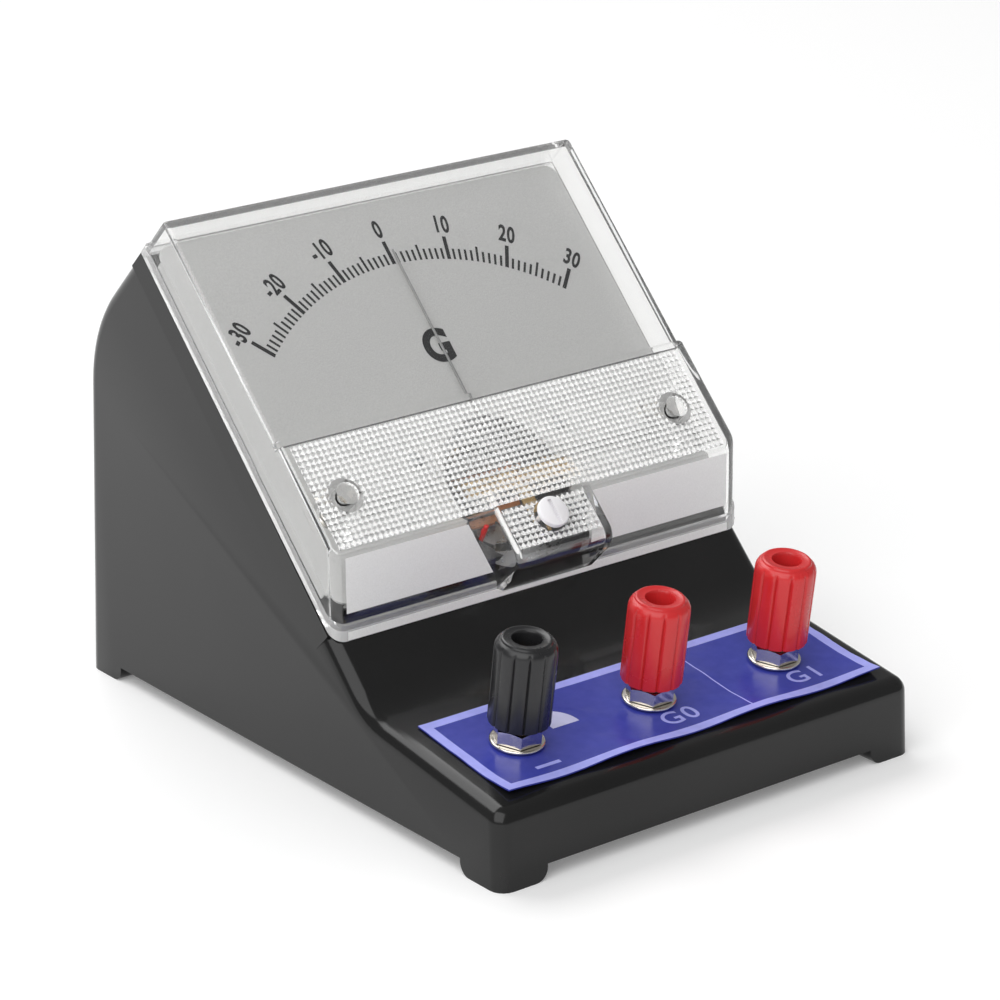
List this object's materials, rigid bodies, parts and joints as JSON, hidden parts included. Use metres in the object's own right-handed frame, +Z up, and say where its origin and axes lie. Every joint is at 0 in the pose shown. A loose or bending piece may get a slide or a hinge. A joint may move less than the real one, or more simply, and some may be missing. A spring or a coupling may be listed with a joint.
{
  "type": "student galvanometer",
  "caption": "Desktop moving-coil galvanometer: sloped black case, clear cover over a centre-zero dial, and binding posts on a front shelf.",
  "frame": {"origin": "centre of the bounding box at the level of the foot bottoms", "axes": "+Z up, -Y towards the reader in front of the dial, +X to the reader's right"},
  "size_m": [0.098, 0.134, 0.099],
  "materials": {
    "case_black": "glossy moulded ABS",
    "clear_cover": "clear polystyrene",
    "knob_black": "satin moulded cap",
    "knob_red": "satin moulded cap",
    "white_plastic": "moulded nylon",
    "base_black": "moulded phenolic",
    "dial_silver": "silver-grey painted sheet",
    "nickel": "bright nickel plate",
    "steel": "zinc-plated steel",
    "brass": "turned brass",
    "copper": "enamelled copper and bronze strip",
    "aluminium": "thin bent strip",
    "pointer_black": "black-painted aluminium",
    "label_blue": "printed film",
    "resistor_tan": "lacquered resistor",
    "wire_red": "PVC insulation",
    "wire_black": "PVC insulation"
  },
  "bodies": {
    "case": {"body_shell": "case_black", "bottom_cover": "case_black", "bottom_screw_1": "steel", "bottom_screw_2": "steel", "bottom_screw_3": "steel", "bottom_screw_4": "steel", "meter_cover": "clear_cover", "cover_screw_left": "nickel", "cover_screw_right": "nickel", "dial_plate": "dial_silver", "dial_screw_left": "steel", "dial_screw_right": "steel", "movement_base": "base_black", "base_screw_left": "steel", "base_screw_right": "steel", "magnet_yoke": "steel", "magnet_core": "steel", "core_holder": "brass", "front_bridge": "brass", "rear_bridge": "brass", "front_jewel_screw": "brass", "rear_jewel_screw": "brass", "rear_hairspring": "copper", "label_plate": "label_blue", "common_stud": "brass", "common_washer": "nickel", "common_nut": "nickel", "common_lug": "brass", "common_lock_nut": "nickel", "low_range_stud": "brass", "low_range_washer": "nickel", "low_range_nut": "nickel", "low_range_lug": "brass", "low_range_lock_nut": "nickel", "high_range_stud": "brass", "high_range_washer": "nickel", "high_range_nut": "nickel", "high_range_lug": "brass", "high_range_lock_nut": "nickel", "series_resistor": "resistor_tan", "red_lead": "wire_red", "black_lead": "wire_black"},
    "adjuster": {"zero_adjuster": "white_plastic"},
    "lever": {"zero_lever": "brass", "front_hairspring": "copper"},
    "coil": {"coil_former": "aluminium", "coil_winding": "copper", "front_pivot": "steel", "rear_pivot": "steel", "pointer": "pointer_black", "counterweight": "brass"},
    "common_thread": {"common_insert": "brass"},
    "common_cap": {"common_knob": "knob_black"},
    "low_range_thread": {"low_range_insert": "brass"},
    "low_range_cap": {"low_range_knob": "knob_red"},
    "high_range_thread": {"high_range_insert": "brass"},
    "high_range_cap": {"high_range_knob": "knob_red"}
  },
  "joints": [
    {"name": "zero_adjust", "type": "hinge", "parent": "case", "child": "adjuster", "pos_m": [0, -0.01987, 0.04567], "axis": [0, -0.7108, 0.7034], "range_deg": [-40.1, 40.1]},
    {"name": "zero_lever_turn", "type": "hinge", "parent": "case", "child": "lever", "pos_m": [0, -0.01013, 0.0484], "axis": [0, -0.7108, 0.7034], "range_deg": [-5.6, 5.6]},
    {"name": "pointer_swing", "type": "hinge", "parent": "lever", "child": "coil", "pos_m": [0, -0.0087, 0.047], "axis": [0, -0.7108, 0.7034], "range_deg": [-46, 46], "stiffness_Nm_per_rad": 0.0000015},
    {"name": "common_travel", "type": "slide", "parent": "case", "child": "common_thread", "axis": [0, -0.1495, 0.9888], "range_m": [-0.0007, 0.0021]},
    {"name": "common_turn", "type": "hinge", "parent": "common_thread", "child": "common_cap", "pos_m": [-0.03115, -0.04895, 0.01757], "axis": [0, -0.1495, 0.9888], "range_deg": [-361, 1081]},
    {"name": "low_range_travel", "type": "slide", "parent": "case", "child": "low_range_thread", "axis": [0, -0.1495, 0.9888], "range_m": [-0.0007, 0.0021]},
    {"name": "low_range_turn", "type": "hinge", "parent": "low_range_thread", "child": "low_range_cap", "pos_m": [-0.00065, -0.04895, 0.01757], "axis": [0, -0.1495, 0.9888], "range_deg": [-361, 1081]},
    {"name": "high_range_travel", "type": "slide", "parent": "case", "child": "high_range_thread", "axis": [0, -0.1495, 0.9888], "range_m": [-0.0007, 0.0021]},
    {"name": "high_range_turn", "type": "hinge", "parent": "high_range_thread", "child": "high_range_cap", "pos_m": [0.02985, -0.04895, 0.01757], "axis": [0, -0.1495, 0.9888], "range_deg": [-361, 1081]}
  ],
  "couplings": [
    {"joint": "zero_adjust", "follows": "zero_lever_turn", "ratio": -7.1429},
    {"joint": "common_turn", "follows": "common_travel", "rad_per_m": 8976},
    {"joint": "low_range_turn", "follows": "low_range_travel", "rad_per_m": 8976},
    {"joint": "high_range_turn", "follows": "high_range_travel", "rad_per_m": 8976}
  ]
}
